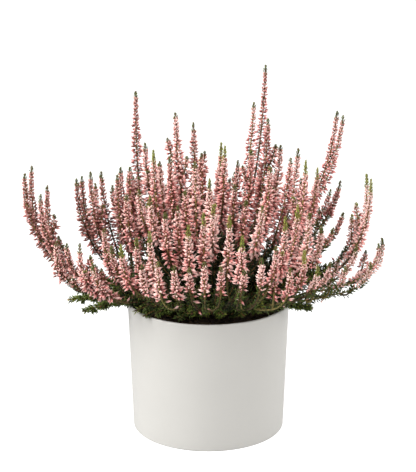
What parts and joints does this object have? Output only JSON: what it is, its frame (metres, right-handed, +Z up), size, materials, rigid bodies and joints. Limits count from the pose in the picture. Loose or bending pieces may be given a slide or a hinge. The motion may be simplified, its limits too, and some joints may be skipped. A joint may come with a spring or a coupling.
{
  "type": "potted heather",
  "caption": "Heather in bloom in a plain white, slightly tapered round pot: a low spreading shrub of upright pink flower spikes over dark needle leaves, with soil below the rim.",
  "frame": {"origin": "centre of the pot's flat base, on the surface that it stands on", "axes": "+Z is up along the pot's axis; -Y is the front, the side with the lowest and nearest flower spikes; +X is to the right seen from the front"},
  "size_m": [0.3102, 0.2381, 0.316],
  "materials": {
    "pot": "satin off-white, even, with a thin round lip",
    "soil": "dark brown potting soil, crumbly and matt",
    "shrub": "dark green needle leaves on brown-green woody twigs, matt",
    "bloom": "pink florets with maroon bases on ochre-green stems, green leafy tips, matt"
  },
  "bodies": {
    "root": {"pot": "pot", "soil": "soil", "leafy_shrub": "shrub", "flower_spray_01": "bloom", "flower_spray_02": "bloom", "flower_spray_03": "bloom", "flower_spray_04": "bloom", "flower_spray_05": "bloom", "flower_spray_06": "bloom", "flower_spray_07": "bloom", "flower_spray_08": "bloom", "flower_spray_09": "bloom", "flower_spray_10": "bloom", "flower_spray_11": "bloom", "flower_spray_12": "bloom", "flower_spray_13": "bloom", "flower_spray_14": "bloom", "flower_spray_15": "bloom", "flower_spray_16": "bloom", "flower_spray_17": "bloom", "flower_spray_18": "bloom", "flower_spray_19": "bloom", "flower_spray_20": "bloom", "flower_spray_21": "bloom", "flower_spray_22": "bloom", "flower_spray_23": "bloom", "flower_spray_24": "bloom", "flower_spray_25": "bloom", "flower_spray_26": "bloom", "flower_spray_27": "bloom", "flower_spray_28": "bloom", "flower_spray_29": "bloom", "flower_spray_30": "bloom", "flower_spray_31": "bloom", "flower_spray_32": "bloom", "flower_spray_33": "bloom", "flower_spray_34": "bloom", "flower_spray_35": "bloom", "flower_spray_36": "bloom", "flower_spray_37": "bloom", "flower_spray_38": "bloom", "flower_spray_39": "bloom", "flower_spray_40": "bloom", "flower_spray_41": "bloom", "flower_spray_42": "bloom", "flower_spray_43": "bloom", "flower_spray_44": "bloom", "flower_spray_45": "bloom", "flower_spray_46": "bloom", "flower_spray_47": "bloom", "flower_spray_48": "bloom", "flower_spray_49": "bloom", "flower_spray_50": "bloom", "flower_spray_51": "bloom", "flower_spray_52": "bloom", "flower_spray_53": "bloom", "flower_spray_54": "bloom", "flower_spray_55": "bloom", "flower_spray_56": "bloom", "flower_spray_57": "bloom"}
  },
  "joints": []
}
